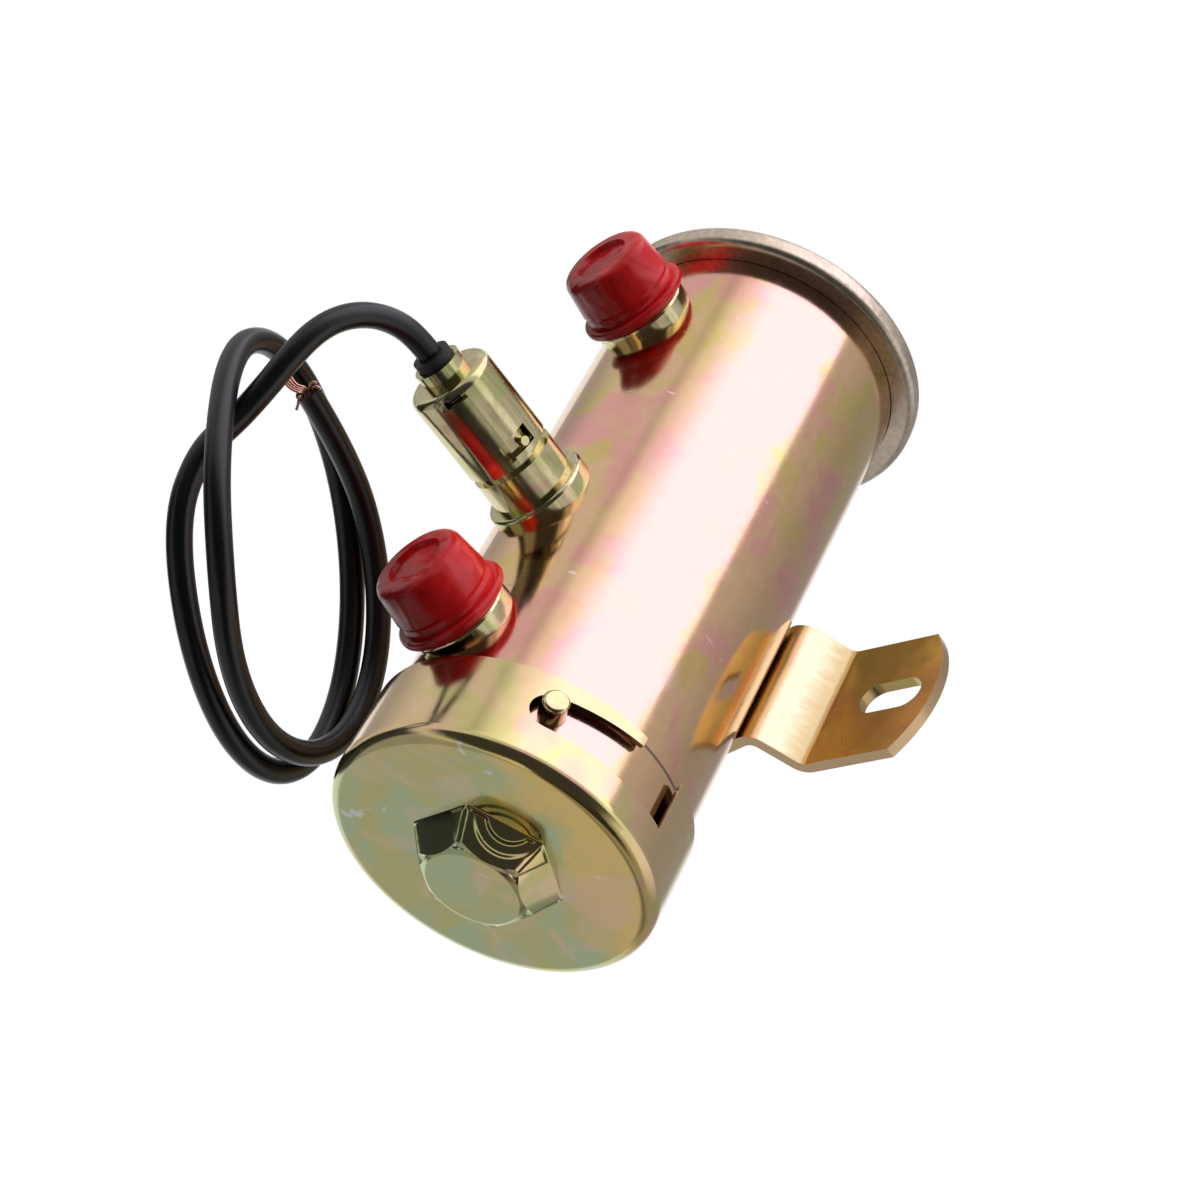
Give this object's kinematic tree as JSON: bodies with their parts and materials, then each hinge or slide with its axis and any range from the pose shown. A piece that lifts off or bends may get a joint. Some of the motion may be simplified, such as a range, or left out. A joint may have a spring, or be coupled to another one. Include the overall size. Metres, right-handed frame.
{
  "type": "electric fuel pump",
  "caption": "Cylindrical plated electric fuel pump on a strap bracket, with twist-off bottom cover, plugged side ports and a bayonet lead connector with a coiled lead.",
  "frame": {"origin": "middle of the bracket's two slots, on the face that meets the mounting surface", "axes": "+Y out of the bracket's face towards the mounting surface, +X along the bracket towards the ear on the picture's right, +Z along the pump's axis from the bottom cover to the top cap"},
  "size_m": [0.0842, 0.114, 0.1317],
  "materials": {
    "zinc_steel": "yellow-passivated zinc on drawn steel, glossy, iridescent",
    "strap_zinc": "yellow-passivated zinc on bent strap, satin",
    "cap_steel": "pressed steel, dull",
    "red_plastic": "soft red plastic, semi-gloss",
    "black_rubber": "moulded rubber, satin",
    "black_insulation": "lead insulation, satin black",
    "copper": "bright copper",
    "brass": "drawn brass",
    "steel": "bare steel",
    "ferrite": "sintered magnet, dull",
    "nylon": "natural nylon",
    "board": "glass-epoxy board, green",
    "black_plastic": "moulded plastic, black"
  },
  "bodies": {
    "pump": {"housing": "zinc_steel", "top_cap": "cap_steel", "damper_diaphragm": "black_rubber", "bayonet_pins": "steel", "mounting_bracket": "strap_zinc", "inlet_fitting": "zinc_steel", "outlet_fitting": "zinc_steel", "connector_socket": "zinc_steel", "socket_insulator": "black_plastic", "socket_contact": "brass", "plug_insulator": "black_plastic", "plug_contact": "brass", "lead_sleeve": "black_rubber", "lead_core": "copper", "filter_screen": "nylon", "plunger_tube": "brass", "lower_bulkhead": "steel", "coil_bobbin": "nylon", "coil_winding": "copper", "upper_pole": "steel", "board_carrier": "nylon", "circuit_board": "board", "transistor": "black_plastic", "upper_bulkhead": "steel", "feed_wire": "copper", "retainer_clip": "steel", "cup_washer": "steel", "valve_seal": "black_rubber", "inlet_valve_body": "brass", "inlet_valve_cage": "steel", "plunger_bumper": "black_rubber", "plunger_spring": "steel", "connector_spring": "steel", "lead_wire": "black_insulation", "lead_strands": "copper"},
    "cover_carrier": {"cover_gasket": "black_rubber"},
    "cover": {"bottom_cover": "zinc_steel", "cover_magnet": "ferrite"},
    "inlet_plug": {"inlet_plug": "red_plastic"},
    "outlet_plug": {"outlet_plug": "red_plastic"},
    "shell_slide": {"thrust_washer": "steel"},
    "shell": {"connector_shell": "zinc_steel"},
    "plunger": {"plunger": "steel", "plunger_valve_cage": "steel"},
    "plunger_valve": {"plunger_valve_disc": "nylon"},
    "inlet_valve": {"inlet_valve_disc": "nylon"}
  },
  "joints": [
    {"name": "cover_draw", "type": "slide", "parent": "pump", "child": "cover_carrier", "axis": [0, 0, -1], "range_m": [0, 0.0019]},
    {"name": "cover_turn", "type": "hinge", "parent": "cover_carrier", "child": "cover", "pos_m": [0, -0.0345, -0.0612], "axis": [0, 0, -1], "range_deg": [0, 40]},
    {"name": "inlet_plug_pull", "type": "slide", "parent": "pump", "child": "inlet_plug", "axis": [0, -1, 0], "range_m": [0, 0.03]},
    {"name": "outlet_plug_pull", "type": "slide", "parent": "pump", "child": "outlet_plug", "axis": [0, -1, 0], "range_m": [0, 0.03]},
    {"name": "shell_push", "type": "slide", "parent": "pump", "child": "shell_slide", "axis": [0, 1, 0], "range_m": [0, 0.0012], "stiffness_N_per_m": 400, "springref_m": -0.002, "deforming": ["connector_spring"]},
    {"name": "shell_turn", "type": "hinge", "parent": "shell_slide", "child": "shell", "pos_m": [0, -0.078, -0.0029], "axis": [0, -1, 0], "range_deg": [0, 42]},
    {"name": "plunger_stroke", "type": "slide", "parent": "pump", "child": "plunger", "axis": [0, 0, 1], "range_m": [-0.008, 0], "stiffness_N_per_m": 60, "springref_m": 0.02, "deforming": ["plunger_spring"]},
    {"name": "plunger_valve_lift", "type": "slide", "parent": "plunger", "child": "plunger_valve", "axis": [0, 0, 1], "range_m": [0, 0.001]},
    {"name": "inlet_valve_lift", "type": "slide", "parent": "pump", "child": "inlet_valve", "axis": [0, 0, 1], "range_m": [0, 0.0012]}
  ],
  "couplings": [
    {"joint": "cover_draw", "follows": "cover_turn", "m_per_rad": 0.00271}
  ]
}
